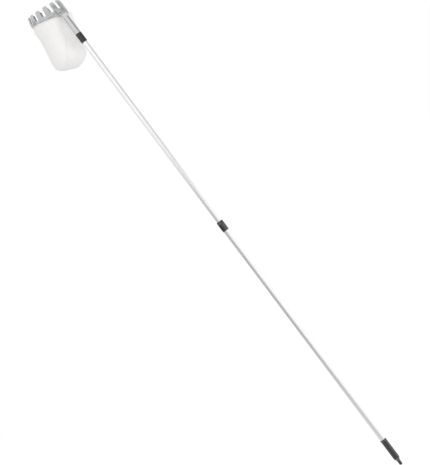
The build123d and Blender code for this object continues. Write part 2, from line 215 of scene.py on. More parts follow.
class PickerColours(PropertyGroup):
    """Colours of the finishes."""

    tube: FloatVectorProperty(
        name="Tube", description="Bright anodised aluminium of the tubes",
        default=linear("FCFCFD"), **A_COLOUR)
    crown: FloatVectorProperty(
        name="Crown", description="Tumbled aluminium of the crown", default=linear("C6C7C8"), **A_COLOUR)
    socket: FloatVectorProperty(
        name="Socket", description="Zinc-plated steel of the socket",
        default=linear("D4D5D6"), **A_COLOUR)
    black: FloatVectorProperty(
        name="Black", description="Black polypropylene of the grip and collars",
        default=linear("161617"), **A_COLOUR)
    cotton: FloatVectorProperty(
        name="Cotton", description="Bleached cotton of the bag", default=linear("F3F2F0"), **A_COLOUR)


def sizes():
    """Sizes that the user has set."""
    return bpy.context.scene.picker_sizes


def colours():
    """Colours that the user has set."""
    return bpy.context.scene.picker_colours


# Curves and angles


def fading(start, end, value):
    """Smooth step from 0 at the start to 1 at the end."""
    t = min(1.0, max(0.0, (value - start) / (end - start)))
    return t * t * (3 - 2 * t)


def bell(value, centre, reach):
    """Smooth hump: 1 at its centre, about a third at its reach."""
    return exp(-((value - centre) / reach) ** 2)


def between(values, at):
    """Smooth curve through evenly numbered values, read at a place between them."""
    last = len(values) - 1
    k = min(int(at), last - 1)
    t = at - k
    before, start, end, after = (values[min(max(k + i, 0), last)] for i in (-1, 0, 1, 2))
    square = 2 * before - 5 * start + 4 * end - after
    cube = 3 * (start - end) + after - before
    return start + 0.5 * t * (end - before + t * (square + t * cube))


def within_half_turn(angle):
    """The same angle, from minus half a turn to half a turn."""
    return (angle + pi) % (2 * pi) - pi


def quarter_turn(steps):
    """Angles of a quarter turn in even steps, with both ends."""
    return [pi / 2 * k / steps for k in range(steps + 1)]


# Materials


def fill_inputs(tree, node, inputs):
    """Fill a node's inputs with values or links, where a node stands for its first output in use."""
    for socket, value in inputs.items():
        if isinstance(value, bpy.types.Node):
            value = next(output for output in value.outputs if output.enabled)
        if isinstance(value, bpy.types.NodeSocket):
            tree.links.new(value, node.inputs[socket])
        else:
            node.inputs[socket].default_value = value


def add_node(tree, kind, inputs, **settings):
    """Add a shader node, give it its settings, and fill its inputs."""
    node = tree.nodes.new("ShaderNode" + kind)
    for name, value in settings.items():
        setattr(node, name, value)
    fill_inputs(tree, node, inputs)
    return node


def empty_tree(owner):
    """Node tree of a material or a world, without its default nodes."""
    owner.use_nodes = True
    owner.node_tree.nodes.clear()
    return owner.node_tree


def new_material(name):
    """Empty node material with its object coordinates and its surface shader."""
    material = bpy.data.materials.new(name)
    tree = empty_tree(material)
    place = add_node(tree, "TexCoord", {}).outputs["Object"]
    shader = add_node(tree, "BsdfPrincipled", {})
    add_node(tree, "OutputMaterial", {"Surface": shader})
    return material, tree, place, shader


def per_mm(spacing):
    """Texture scale whose pattern repeats at a spacing in millimetres."""
    return 1 / (spacing * MM)


def two_tones(colour, spread):
    """A darker and a lighter tone of a colour, as the two sides of a mix."""
    darker = tuple(c * (1 - spread) for c in colour)
    lighter = tuple(min(1, c * (1 + spread)) for c in colour)
    return {"A": (*darker, 1), "B": (*lighter, 1)}


def drawn_aluminium():
    """Anodised aluminium tube, drawn through a die: near a mirror, with faint lines along its length."""
    material, tree, place, shader = new_material("anodised aluminium, drawn and polished")
    # Die lines are about 0.2 mm apart, drawn here at 1.5 mm so that they show
    along = add_node(tree, "Mapping", {
        "Vector": place, "Scale": (per_mm(1.5), per_mm(1.5), per_mm(600)),
    })
    lines = add_node(tree, "TexNoise", {"Vector": along, "Scale": 1, "Detail": 3})
    tint = add_node(tree, "Mix", {"Factor": lines, **two_tones(colours().tube, 0.03)}, data_type="RGBA")
    polish = add_node(tree, "MapRange", {"Value": lines, "To Min": 0.10, "To Max": 0.17})
    relief = add_node(tree, "Bump", {"Height": lines, "Strength": 0.04, "Distance": 0.02 * MM})
    # The clear oxide layer scatters some of the light, so dark reflections look milky
    fill_inputs(tree, shader, {
        "Base Color": tint, "Roughness": polish, "Normal": relief, "Metallic": 0.72,
    })
    return material


def satin_metal(name, colour, rough, dulled=None):
    """Sheet metal with a satin skin: blurred reflections, cloudy grey patches and fine rubbing marks."""
    material, tree, place, shader = new_material(name)
    clouds = add_node(tree, "TexNoise", {
        "Vector": place, "Scale": per_mm(14), "Detail": 4, "Roughness": 0.55,
    })
    # Rubbing marks are about 0.1 mm wide, drawn here at 0.8 mm so that they show
    marks = add_node(tree, "TexNoise", {"Vector": place, "Scale": per_mm(0.8), "Detail": 2})
    tint = add_node(tree, "Mix", {"Factor": clouds, **two_tones(colour, 0.09)}, data_type="RGBA")
    polish = add_node(tree, "MapRange", {"Value": clouds, "To Min": rough[0], "To Max": rough[1]})
    if dulled:
        # Pressing breaks the bright skin, so the metal turns greyer above the press line
        dull, low, high = dulled
        axes = add_node(tree, "SeparateXYZ", {"Vector": place})
        share = add_node(tree, "MapRange", {
            "Value": axes.outputs["Z"], "From Min": low, "From Max": high,
        })
        tint = add_node(tree, "Mix", {"Factor": share, "A": tint, "B": (*dull, 1)}, data_type="RGBA")
    relief = add_node(tree, "Bump", {"Height": marks, "Strength": 0.12, "Distance": 0.05 * MM})
    fill_inputs(tree, shader, {
        "Base Color": tint, "Roughness": polish, "Normal": relief, "Metallic": 1,
    })
    return material


def moulded_black(name, gloss_level):
    """Black polypropylene, moulded: near black and shiny, with a fine grain and patches worn by hands."""
    material, tree, place, shader = new_material(name)
    # The grain is about 0.3 mm, drawn here at 1 mm so that it shows
    grain = add_node(tree, "TexNoise", {"Vector": place, "Scale": per_mm(1.0), "Detail": 2})
    handled = add_node(tree, "TexNoise", {"Vector": place, "Scale": per_mm(25), "Detail": 3})
    tint = add_node(tree, "Mix", {
        "Factor": handled, **two_tones(colours().black, 0.16),
    }, data_type="RGBA")
    gloss = add_node(tree, "MapRange", {"Value": handled, "To Min": 0.08, "To Max": 0.15})
    relief = add_node(tree, "Bump", {"Height": grain, "Strength": 0.1, "Distance": 0.06 * MM})
    fill_inputs(tree, shader, {
        "Base Color": tint, "Roughness": gloss,
        "Normal": relief, "IOR": 1.6, "Specular IOR Level": gloss_level,
    })
    return material


def moulded_nylon():
    """Natural nylon, moulded: off-white and waxy, with cloudy streaks where it flowed."""
    material, tree, place, shader = new_material("natural nylon, moulded")
    flow = add_node(tree, "TexNoise", {"Vector": place, "Scale": per_mm(6), "Detail": 3})
    tint = add_node(tree, "Mix", {"Factor": flow, **two_tones(linear("DCD8CC"), 0.05)}, data_type="RGBA")
    gloss = add_node(tree, "MapRange", {"Value": flow, "To Min": 0.36, "To Max": 0.5})
    fill_inputs(tree, shader, {"Base Color": tint, "Roughness": gloss, "IOR": 1.53})
    return material


def woven_cotton(name, colour, spacing):
    """Bleached cotton in plain weave: matt and pale, with crossed threads and a soft uneven tone."""
    material, tree, place, shader = new_material(name)
    uv = add_node(tree, "UVMap", {}, uv_map="weave").outputs["UV"]
    # Threads are about 0.5 mm apart, drawn here at about 1.5 mm so that they show.
    # Bands of scale 1 repeat at a twentieth of 2 pi.
    threads = [
        add_node(tree, "TexWave", {
            "Vector": uv, "Scale": per_mm(spacing) * 2 * pi / 20, "Distortion": 0.6, "Detail": 1,
        }, wave_type="BANDS", bands_direction=way)
        for way in ("X", "Y")
    ]
    weave = add_node(tree, "Math", {
        0: threads[0].outputs["Fac"], 1: threads[1].outputs["Fac"],
    }, operation="MULTIPLY")
    slubs = add_node(tree, "TexNoise", {"Vector": place, "Scale": per_mm(22), "Detail": 4})
    tint = add_node(tree, "Mix", {"Factor": slubs, **two_tones(colour, 0.025)}, data_type="RGBA")
    relief = add_node(tree, "Bump", {"Height": weave, "Strength": 0.3, "Distance": 0.15 * MM})
    fill_inputs(tree, shader, {
        "Base Color": tint, "Normal": relief,
        "Roughness": 0.9, "Specular IOR Level": 0.2, "Sheen Weight": 0.15,
    })
    return material


def twisted_thread():
    """Cotton sewing thread, twisted: matt, a shade darker than the cloth, with an uneven tone."""
    material, tree, place, shader = new_material("cotton thread, twisted")
    # The twist repeats at about 0.4 mm, drawn here at 0.7 mm so that it shows
    twist = add_node(tree, "TexNoise", {"Vector": place, "Scale": per_mm(0.7), "Detail": 1})
    tint = add_node(tree, "Mix", {
        "Factor": twist, **two_tones(linear("E6E4E0"), 0.06),
    }, data_type="RGBA")
    fill_inputs(tree, shader, {"Base Color": tint, "Roughness": 0.85})
    return material


# Pieces


def dress(nodes, material):
    """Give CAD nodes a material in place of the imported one."""
    for name in nodes:
        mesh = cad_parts[name].data
        mesh.materials.clear()
        mesh.materials.append(material)


def add_object(name, data):
    """Put a mesh, a lamp or a camera into the scene."""
    thing = bpy.data.objects.new(name, data)
    bpy.context.scene.collection.objects.link(thing)
    return thing


def add_piece(bm, name, material, replaced=(), clean=True):
    """Make a piece of a bmesh, smooth it, and let it ride on the upper pole."""
    if clean:
        bmesh.ops.remove_doubles(bm, verts=bm.verts, dist=0.01 * MM)
        bmesh.ops.recalc_face_normals(bm, faces=bm.faces)
    if not bm.faces:
        raise RuntimeError(f"{name} has no faces")
    mesh = bpy.data.meshes.new(name)
    bm.to_mesh(mesh)
    bm.free()
    for face in mesh.polygons:
        face.use_smooth = True
    mesh.materials.append(material)
    piece = add_object(name, mesh)
    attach(piece, "upper_pole")
    if replaced:
        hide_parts(*replaced)
    return piece


def add_modifier(piece, name, kind, **settings):
    """Add a modifier to a piece and give it its settings."""
    modifier = piece.modifiers.new(name, kind)
    for setting, value in settings.items():
        setattr(modifier, setting, value)


def drawn_on(bm, edges):
    """Extrude edges, and give back the fresh vertices and the fresh edges between them."""
    made = bmesh.ops.extrude_edge_only(bm, edges=edges)["geom"]
    fresh = {g for g in made if isinstance(g, bmesh.types.BMVert)}
    ahead = [g for g in made if isinstance(g, bmesh.types.BMEdge) and fresh.issuperset(g.verts)]
    return fresh, ahead


def closed_loop(bm, points):
    """Loop of new vertices and edges through points, back to the first one."""
    verts = [bm.verts.new(point) for point in points]
    return verts, [bm.edges.new(pair) for pair in zip(verts, verts[1:] + verts[:1])]


def turned_bmesh(outline, steps):
    """Shape turned about the z axis from an outline of radius and height."""
    bm = bmesh.new()
    verts = [bm.verts.new((r, 0, z)) for r, z in outline]
    edges = [bm.edges.new(pair) for pair in zip(verts, verts[1:])]
    bmesh.ops.spin(
        bm, geom=verts + edges, cent=(0, 0, 0), axis=(0, 0, 1), angle=2 * pi, steps=steps, use_merge=True)
    bmesh.ops.remove_doubles(bm, verts=bm.verts, dist=0.002 * MM)
    return bm


def lofted_bmesh(around, rings, point):
    """Tube drawn on ring by ring from a circle: point places a vertex by its column and its ring."""
    bm = bmesh.new()
    column = bm.verts.layers.int.new("column")
    fresh = bmesh.ops.create_circle(bm, segments=around, radius=1)["verts"]
    for vert in fresh:
        vert[column] = round(atan2(vert.co.y, vert.co.x) / (2 * pi) * around) % around
    first = last = bm.edges[:]
    for ring in rings:
        if ring != rings[0]:
            fresh, last = drawn_on(bm, last)
        for vert in fresh:
            vert.co = point(vert[column], ring)
    return bm, column, first, last


# Crown


def crown_radius(height):
    """Outer radius of the crown at a height: a straight band, then the fingers' bend."""
    if height <= BEND_LOW:
        return BAND_R
    rise, lean = FINGER_HIGH - BEND_LOW, BAND_R - FINGER_TIP_R
    bend = (rise ** 2 + lean ** 2) / (2 * lean)
    return BAND_R - bend + sqrt(bend ** 2 - (height - BEND_LOW) ** 2)


def crown_normal(point):
    """Outward normal of the crown's sheet at a point."""
    step = 0.1 * MM
    slope = (crown_radius(point.z + step) - crown_radius(point.z - step)) / (2 * step)
    out = point.xy.normalized()
    return Vector((out.x, out.y, -slope)).normalized()


def rim_height(turn):
    """Height of the crown's lower rim at an angle: it sweeps down to the socket, with an apron behind."""
    # On the apron's side the sweep stays low for longer
    reach = BAND_R * cos(turn if turn < 0 else turn ** 2 / pi)
    past = max(0.0, reach - RIM_TURN_X)
    apron = APRON_DEEP * bell(turn, APRON_TURN, APRON_HALF)
    return RIM_LOW - RIM_SWEEP_R + sqrt(RIM_SWEEP_R ** 2 - past ** 2) - apron


def crown_point(offset, share, height, half_pitch):
    """Point of a half sector: across the gap by its offset, then across the finger by a share."""
    radius = crown_radius(height)
    edge = sqrt(max(0.0, 1 - (offset / radius) ** 2))
    turn = atan2(offset / radius, edge)
    turn += share * (half_pitch - turn)
    return Vector((radius * cos(turn), radius * sin(turn), height))


def build_sector(bm, half_pitch):
    """Half a finger and half a gap of flat sheet, drawn up row by row from the lower rim."""
    gap_steps, band_rows, finger_rows = 6, 3, 14
    finger_shares = (0.1, 0.22, 0.36, 0.55, 0.78, 1.0)
    columns = [(sin(a), 1 - cos(a), 0.0) for a in quarter_turn(gap_steps)]
    columns += [(1.0, 1.0, share) for share in finger_shares]
    half, top = GAP_HALF + sizes().roll, FINGER_HIGH - sizes().roll
    column = bm.verts.layers.int.new("column")
    low = bm.verts.layers.float.new("low")

    def tip_height(share):
        inside = min(TIP_CORNER, share * (FINGER_TIP_R * half_pitch - half))
        return top - TIP_CORNER + sqrt(TIP_CORNER ** 2 - (TIP_CORNER - inside) ** 2)

    def place(vert, row):
        across, rise, share = columns[vert[column]]
        root = half * rise - sizes().roll
        if row <= band_rows:
            height = RIM_LOW + (root - RIM_LOW) * row / band_rows
        else:
            height = root + (tip_height(share) - root) * (row - band_rows) / finger_rows
        vert[low] = max(0.0, 1 - row / band_rows)
        vert.co = crown_point(half * across, share, height, half_pitch)

    verts = [bm.verts.new() for _ in columns]
    for k, vert in enumerate(verts):
        vert[column] = k
        place(vert, 0)
    edges = [bm.edges.new(pair) for pair in zip(verts, verts[1:])]
    for row in range(1, band_rows + finger_rows + 1):
        if row == band_rows + 1:
            edges = [e for e in edges if min(v[column] for v in e.verts) >= gap_steps]
        fresh, edges = drawn_on(bm, edges)
        for vert in fresh:
            place(vert, row)


def roll_edge(bm, edges):
    """Roll a cut edge of the sheet inward: a quarter round, then a short straight lip."""
    roll, steps = sizes().roll, 4
    ring = {}
    for vert in {v for e in edges for v in e.verts}:
        away = Vector()
        for edge in (e for e in vert.link_edges if e.is_boundary):
            along = (edge.verts[1].co - edge.verts[0].co).normalized()
            off = (edge.verts[0].co + edge.verts[1].co) / 2 - edge.link_faces[0].calc_center_median()
            away += (off - along * off.dot(along)).normalized()
        ring[vert] = (vert.co.copy(), away.normalized(), -crown_normal(vert.co))
    offsets = [(roll * sin(a), roll * (1 - cos(a))) for a in quarter_turn(steps)[1:]]
    for reach, depth in offsets + [(roll, sizes().lip)]:
        fresh, edges = drawn_on(bm, edges)
        behind, ring = ring, {}
        for vert in fresh:
            others = (e.other_vert(vert) for e in vert.link_edges)
            ring[vert] = behind[next(v for v in others if v in behind)]
        for vert, (base, away, inward) in ring.items():
            vert.co = base + away * reach + inward * depth


def build_crown():
    """Stamped crown: bent fingers round a band, with a rolled edge round every gap and fingertip."""
    pitch = 2 * pi / sizes().fingers
    bm = bmesh.new()
    build_sector(bm, pitch / 2)
    low = bm.verts.layers.float["low"]
    bmesh.ops.mirror(
        bm, geom=bm.verts[:] + bm.edges[:] + bm.faces[:], axis="Y", merge_dist=0.001 * MM,
        matrix=Matrix.Identity(4))
    first = Matrix.Rotation(pitch / 2 + FINGER_TURN, 3, "Z")
    bmesh.ops.rotate(bm, verts=bm.verts, matrix=first, cent=(0, 0, 0))
    bmesh.ops.spin(
        bm, geom=bm.verts[:] + bm.edges[:] + bm.faces[:], cent=(0, 0, 0), axis=(0, 0, 1),
        angle=2 * pi - pitch, steps=sizes().fingers - 1, use_duplicate=True, use_merge=False)
    bmesh.ops.remove_doubles(bm, verts=bm.verts, dist=0.05 * MM)
    for vert in bm.verts:
        turn = atan2(vert.co.y, vert.co.x)
        vert.co.z += vert[low] * (rim_height(turn) - RIM_LOW)
        drop = min(FLARE_DEEP, max(0.0, BEND_LOW - vert.co.z))
        vert.co.xy *= 1 + FLARE * drop * fading(*FLARE_FROM_TANG, abs(turn)) / BAND_R
    roll_edge(bm, [e for e in bm.edges if e.is_boundary and e.verts[0][low] < 0.5])
    bmesh.ops.transform(bm, matrix=HEAD, verts=bm.verts)
    material = satin_metal("aluminium sheet, stamped and tumbled", colours().crown, rough=(0.22, 0.30))
    piece = add_piece(bm, "crown_sheet", material, ["picker_crown"])
    add_modifier(piece, "wall", "SOLIDIFY", thickness=sizes().sheet, offset=-1, use_even_offset=True)
    add_modifier(
        piece, "rounding", "BEVEL", width=sizes().sheet / 4, segments=2, limit_method="ANGLE",
        angle_limit=radians(60))


# Fasteners


def dome(radius, rise, seat, steps):
    """Outline points of a domed head, from its rim on the seat up to its top."""
    return [(radius * cos(a), seat + rise * sin(a)) for a in quarter_turn(steps)]


def put(target, source, matrix):
    """Add a placed copy of one bmesh to another."""
    mesh = bpy.data.meshes.new("copy")
    source.to_mesh(mesh)
    mesh.transform(matrix)
    target.from_mesh(mesh)
    bpy.data.meshes.remove(mesh)


def outward(turn, height):
    """Matrix that lays a turned shape's axis outward from the crown's axis."""
    lay = Matrix.Rotation(radians(90), 4, "Y")
    return HEAD @ Matrix.Rotation(turn, 4, "Z") @ Matrix.Translation((0, 0, height)) @ lay


def build_rivets():
    """Domed aluminium rivets: six hold the hem to the band, two hold the socket's tang."""
    material = satin_metal("aluminium rivet, headed", linear("C2C3C4"), rough=(0.2, 0.32))
    pitch = 2 * pi / sizes().fingers
    hem_turns = [k * pitch + FINGER_TURN for k in HEM_RIVET_FINGERS]
    tang_turns = [-TANG_RIVET_TURN, TANG_RIVET_TURN]
    groups = (
        ("hem_rivets_domed", "hem_rivets", HEM_RIVET_R, BAND_R, HEM_RIVET_Z, hem_turns),
        ("socket_rivets_domed", "socket_rivets", TANG_RIVET_R, TANG_OUT, TANG_RIVET_Z, tang_turns),
    )
    for name, node, radius, seat, height, turns in groups:
        head, rise, washer, edge = 2 * radius, 0.7 * radius, 0.9 * MM, 0.15 * MM
        low = RIVET_TAIL - washer
        tail = [(0, low), (head - 2 * edge, low), (head, low + 2 * edge), (head, RIVET_TAIL)]
        stem = [(radius, RIVET_TAIL), (radius, seat), (head, seat)]
        shape = turned_bmesh(tail + stem + dome(head, rise, seat + edge, 6), 24)
        bm = bmesh.new()
        for turn in turns:
            put(bm, shape, outward(turn, height))
        shape.free()
        add_piece(bm, name, material, [node])


def wind_thread(bm, core, crest, pitch, low, high):
    """Add a closed V ridge that winds round a core from one height to another."""
    turns, steps = int((high - low) / pitch), 20
    inside = core - 0.1 * MM
    # Radius and share of the pitch at each corner of the ridge
    profile = ((inside, 0.0), (crest, 0.42), (crest, 0.5), (inside, 0.92))
    verts, edges = closed_loop(bm, [(r, 0, low + share * pitch) for r, share in profile])
    bm.faces.new(verts)
    made = bmesh.ops.spin(
        bm, geom=verts + edges, cent=(0, 0, 0), axis=(0, 0, 1), dvec=(0, 0, pitch / steps),
        angle=2 * pi * turns, steps=steps * turns, use_merge=False)["geom_last"]
    last = [e for e in made if isinstance(e, bmesh.types.BMEdge)]
    bmesh.ops.holes_fill(bm, edges=last, sides=4)


def build_screw():
    """Pan-head screw of zinc-plated steel with a cross recess and a cut thread."""
    bevel, rim, blunt, tip = 0.2 * MM, 0.5 * MM, 0.3 * MM, 1.6 * MM
    point = [(0, SCREW_END), (0.5 * SCREW_CORE_R, SCREW_END + blunt), (SCREW_CORE_R, SCREW_END + tip)]
    seat = [(SCREW_CORE_R, 0), (SCREW_HEAD_R - bevel, 0), (SCREW_HEAD_R, bevel)]
    shoulder = dome(SCREW_HEAD_R - SCREW_FLAT_R, SCREW_HEAD_HIGH - rim, rim, 5)
    bm = turned_bmesh(point + seat + [(SCREW_FLAT_R + r, z) for r, z in shoulder], 24)
    top = [e for e in bm.edges if e.is_boundary]
    arm = [Vector((x, y, SCREW_HEAD_HIGH)) for x, y in (
        (RECESS_ARM, RECESS_ARM), (RECESS_ARM, RECESS_REACH), (-RECESS_ARM, RECESS_REACH))]
    cross = [Matrix.Rotation(pi / 2 * k, 3, "Z") @ corner for k in range(4) for corner in arm]
    mouth = closed_loop(bm, cross)[1]
    bmesh.ops.bridge_loops(bm, edges=top + mouth)
    sunk = list(drawn_on(bm, mouth)[0])
    bmesh.ops.translate(bm, verts=sunk, vec=(0, 0, -RECESS_DEEP))
    bmesh.ops.scale(bm, verts=sunk, vec=(RECESS_TAPER, RECESS_TAPER, 1))
    bmesh.ops.holes_fill(bm, edges=[e for e in bm.edges if e.is_boundary], sides=0)
    thread_low, thread_high = SCREW_END + 1.8 * MM, -0.8 * MM
    wind_thread(bm, SCREW_CORE_R, SCREW_R, SCREW_PITCH, thread_low, thread_high)
    place = Matrix.Translation((SCREW_SEAT, 0, SCREW_Z)) @ Matrix.Rotation(radians(90), 4, "Y")
    bmesh.ops.transform(bm, matrix=place, verts=bm.verts)
    material = satin_metal("steel screw, zinc plated", linear("C4C6C9"), rough=(0.2, 0.34))
    add_piece(bm, "pan_head_screw", material, ["socket_screw"])


def build_stud():
    """Zinc-plated stud of the twist lock, with its thread rolled from end to end."""
    small, low, high = STUD_CORE_R - STUD_BEVEL, STUD_LOW + STUD_BEVEL, STUD_HIGH - STUD_BEVEL
    foot = [(0, STUD_LOW), (small, STUD_LOW), (STUD_CORE_R, low)]
    top = [(STUD_CORE_R, high), (small, STUD_HIGH), (0, STUD_HIGH)]
    bm = turned_bmesh(foot + top, 20)
    wind_thread(bm, STUD_CORE_R, STUD_R, STUD_PITCH, low, high)
    material = satin_metal("steel stud, zinc plated", linear("BFC1C4"), rough=(0.24, 0.38))
    add_piece(bm, "threaded_stud", material, ["lock_stud"])


# Socket


def tang_spot(turn):
    """Point of the tang's section, in the crown's own plane, for an angle round the socket's tube."""
    face, middle = radians(80), TANG_IN + TANG_THICK / 2
    side = 1 if turn < pi else -1
    from_front = min(turn, 2 * pi - turn)
    if from_front <= face:
        radius, angle = TANG_IN + TANG_THICK, TANG_HALF * from_front / face
    elif from_front >= pi - face:
        radius, angle = TANG_IN, TANG_HALF * (pi - from_front) / face
    else:
        bulge = pi * (from_front - face) / (pi - 2 * face)
        radius = middle + TANG_THICK / 2 * cos(bulge)
        angle = TANG_HALF + TANG_THICK / 2 * sin(bulge) / middle
    return Vector((radius * cos(angle), side * radius * sin(angle), 0))


def socket_point(turn, ring):
    """Point of the socket: rings 0 to 1 up the tube, to 2 through the pressed part, to 3 up the tang."""
    radius = SOCKET_R + (SOCKET_TOP_R - SOCKET_R) * fading(SOCKET_TAPER_FROM, 1, ring)
    if cos(turn) > 0:
        radius -= SOCKET_SEAM_DEEP * exp(-(radius * sin(turn) / SOCKET_SEAM_HALF) ** 4)
    tube = Vector((radius * cos(turn), radius * sin(turn), SOCKET_ROUND_HIGH))
    if ring <= 1:
        tube.z = SOCKET_LOW + ring * (SOCKET_ROUND_HIGH - SOCKET_LOW)
        return tube
    spot = tang_spot(turn)
    if ring <= 2:
        spot.z = TANG_LOW
        end = HEAD @ spot
        along = tube.lerp(end, fading(1, 2, ring))
        along.z = tube.z + (ring - 1) * (end.z - tube.z)
        return along
    spot.z = TANG_LOW + (ring - 2) * (TANG_HIGH - TANG_LOW)
    return HEAD @ spot


def build_socket():
    """Rolled socket with its seam in front, pressed flat at the top where it is riveted to the band."""
    around, pressed_rings = 96, 12
    pressed = [1 + k / pressed_rings for k in range(1, pressed_rings)]
    rings = [0, 0.02, 0.2, 0.4, 0.6, 0.8, 1, *pressed, 2, 2.5, 2.95, 3]
    bm, _, foot, top = lofted_bmesh(around, rings, lambda k, ring: socket_point(2 * pi * k / around, ring))
    bmesh.ops.edgeloop_fill(bm, edges=top)
    bmesh.ops.edgeloop_fill(bm, edges=foot)
    dulled = (linear("C4C5C6"), SOCKET_ROUND_HIGH, SOCKET_ROUND_HIGH + SOCKET_DULL_REACH)
    material = satin_metal("steel socket, zinc plated", colours().socket, rough=(0.12, 0.2), dulled=dulled)
    piece = add_piece(bm, "rolled_socket", material, ["head_socket"])
    add_modifier(
        piece, "rounding", "BEVEL", width=SOCKET_EDGE, segments=2, limit_method="ANGLE",
        angle_limit=radians(60))


# Bag


def gather_wave(turn):
    """Wave of the gathered cloth at an angle, from -1 to 1."""
    return sin(GATHERS * turn + GATHER_DRIFT * sin(GATHER_DRIFTS * turn))


def tucked(point):
    """Point of the cloth, drawn in to lie inside the band where the band covers it."""
    spot = HEAD_BACK @ point
    out = spot.xy.length
    rim = rim_height(atan2(spot.y, spot.x))
    cover = fading(rim - COVER_START, rim - COVER_FULL, spot.z)
    spot.xy *= 1 - cover * max(0.0, out - CLOTH_R) / out
    return HEAD @ spot


def bag_folds(turn, drop, off_seam):
    """How far the cloth stands out at an angle, a drop and a way from the seam, in millimetres."""
    around = within_half_turn(turn)
    gathers = GATHER_OUT * bell(drop, GATHER_DROP, GATHER_REACH) * gather_wave(turn)
    sag = SAG_OUT * sin(2 * turn + SAG_START + drop / SAG_SLANT) * sin(pi * min(1, drop / SAG_END))
    deepened = GROOVE_MORE * fading(GROOVE_MORE_FROM, GROOVE_MORE_TO, drop)
    groove = (GROOVE_IN + deepened) * bell(off_seam, 0, GROOVE_HALF)
    ridge = RIDGE_OUT * exp(-(off_seam / RIDGE_HALF) ** 4)
    puff = PUFF_OUT * bell(drop, PUFF_DROP, PUFF_REACH) * bell(around, PUFF_TURN, PUFF_HALF)
    flat = FLAT_IN * bell(drop, FLAT_DROP, FLAT_REACH) * bell(around, 0, FLAT_HALF)
    return gathers + sag - groove + ridge + puff - flat


def bag_point(aside, level, stand_off=0.0):
    """Point of the bag's cloth at an angle from its seam and a level, with its folds."""
    drop, x, y, radius, slope = (between([row[k] for row in BAG_LEVELS], level) for k in range(5))
    turn = radians(SEAM_START - SEAM_SLANT * min(drop, SEAM_SLANT_END)) + aside
    radius += bag_folds(turn, drop, within_half_turn(aside) * radius) + stand_off / MM
    foot = FOOT_TURN @ Matrix.Rotation(radians(-slope), 3, "X") @ FOOT_TURN.transposed()
    tilt = Matrix.Rotation(HEAD_TILT * (1 - fading(TILT_FROM, TILT_TO, drop)), 3, "Y")
    ring = tilt @ foot @ Vector((radius * cos(turn), radius * sin(turn), 0))
    notch = fading(NOTCH_FROM, len(BAG_LEVELS) - 1, level) * bell(radius * sin(aside), 0, NOTCH_HALF)
    drawn_up = Vector((0, 0, sizes().notch * notch))
    return tucked(HEM_CENTRE + (Vector((x, y, -drop)) + ring) * MM + drawn_up)


def unwrap_round(bm, angle, height, radius):
    """UV map in metres round a piece, from each vertex's angle and height."""
    layer = bm.loops.layers.uv.new("weave")
    for face in bm.faces:
        angles = [angle(loop.vert) for loop in face.loops]
        split = max(angles) - min(angles) > pi
        for loop, turn in zip(face.loops, angles):
            if split and turn < pi:
                turn += 2 * pi
            loop[layer].uv = (turn * radius, height(loop.vert))


def build_bag():
    """Cotton bag: a lofted shell that hangs from the hem, with a side seam and a creased bottom."""
    even, beside, rings_a_level = 96, (0.025, SEAM_STITCH, 0.1), 2
    columns = [0.0, *beside, *(2 * pi * k / even for k in range(2, even - 1))]
    columns += [2 * pi - a for a in reversed(beside)]
    rings = [k / rings_a_level for k in range((len(BAG_LEVELS) - 1) * rings_a_level + 1)]
    bm, column, _, bottom = lofted_bmesh(len(columns), rings, lambda k, ring: bag_point(columns[k], ring))
    bmesh.ops.edgeloop_fill(bm, edges=bottom)
    unwrap_round(bm, lambda v: columns[v[column]], lambda v: HEM_CENTRE.z - v.co.z, BAND_R)
    material = woven_cotton("cotton canvas, bleached plain weave", colours().cotton, spacing=1.6)
    piece = add_piece(bm, "bag_cloth", material, ["fruit_bag"])
    add_modifier(piece, "smooth", "SUBSURF", levels=1, render_levels=1)
    add_modifier(piece, "wall", "SOLIDIFY", thickness=sizes().cloth, offset=-1)


def build_hem():
    """Hem of the bag: the cotton folded double round the mouth, held by the rivets."""
    around, rows = 104, 4
    bm = bmesh.new()
    fresh = bmesh.ops.create_circle(bm, segments=around, radius=HEM_R)["verts"]
    bmesh.ops.translate(bm, verts=fresh, vec=(0, 0, HEM_LOW))
    edges = bm.edges[:]
    for _ in range(rows):
        fresh, edges = drawn_on(bm, edges)
        bmesh.ops.translate(bm, verts=list(fresh), vec=(0, 0, (HEM_HIGH - HEM_LOW) / rows))
    unwrap_round(bm, lambda v: atan2(v.co.y, v.co.x) % (2 * pi), lambda v: v.co.z, HEM_R)
    for vert in bm.verts:
        turn = atan2(vert.co.y, vert.co.x)
        low = (HEM_HIGH - vert.co.z) / (HEM_HIGH - HEM_LOW)
        vert.co.xy *= 1 + low * HEM_PUCKER * gather_wave(turn) / HEM_R
        vert.co.z += low * HEM_WAVE * sin(HEM_WAVES * turn + HEM_WAVE_START)
    bmesh.ops.transform(bm, matrix=HEAD, verts=bm.verts)
    material = woven_cotton("cotton hem, folded and sewn", colours().cotton, spacing=1.4)
    piece = add_piece(bm, "hem_tape", material, ["bag_hem"])
    add_modifier(piece, "wall", "SOLIDIFY", thickness=sizes().tape, offset=0)
    add_modifier(piece, "rounding", "BEVEL", width=sizes().tape / 3, segments=2, limit_method="ANGLE")
    add_modifier(piece, "smooth", "SUBSURF", levels=1, render_levels=1)


def add_stitch(bm, start, end, out):
    """One raised stitch of thread between two points, on a surface that faces out."""
    along = end - start
    side = along.cross(out).normalized()
    up = side.cross(along).normalized()
    turn = Matrix((along.normalized(), side, up)).transposed().to_4x4()
    size = Matrix.Diagonal((along.length / 2, THREAD / 2, THREAD / 2, 1))
    bmesh.ops.create_icosphere(
        bm, subdivisions=1, radius=1, matrix=Matrix.Translation((start + end) / 2) @ turn @ size)


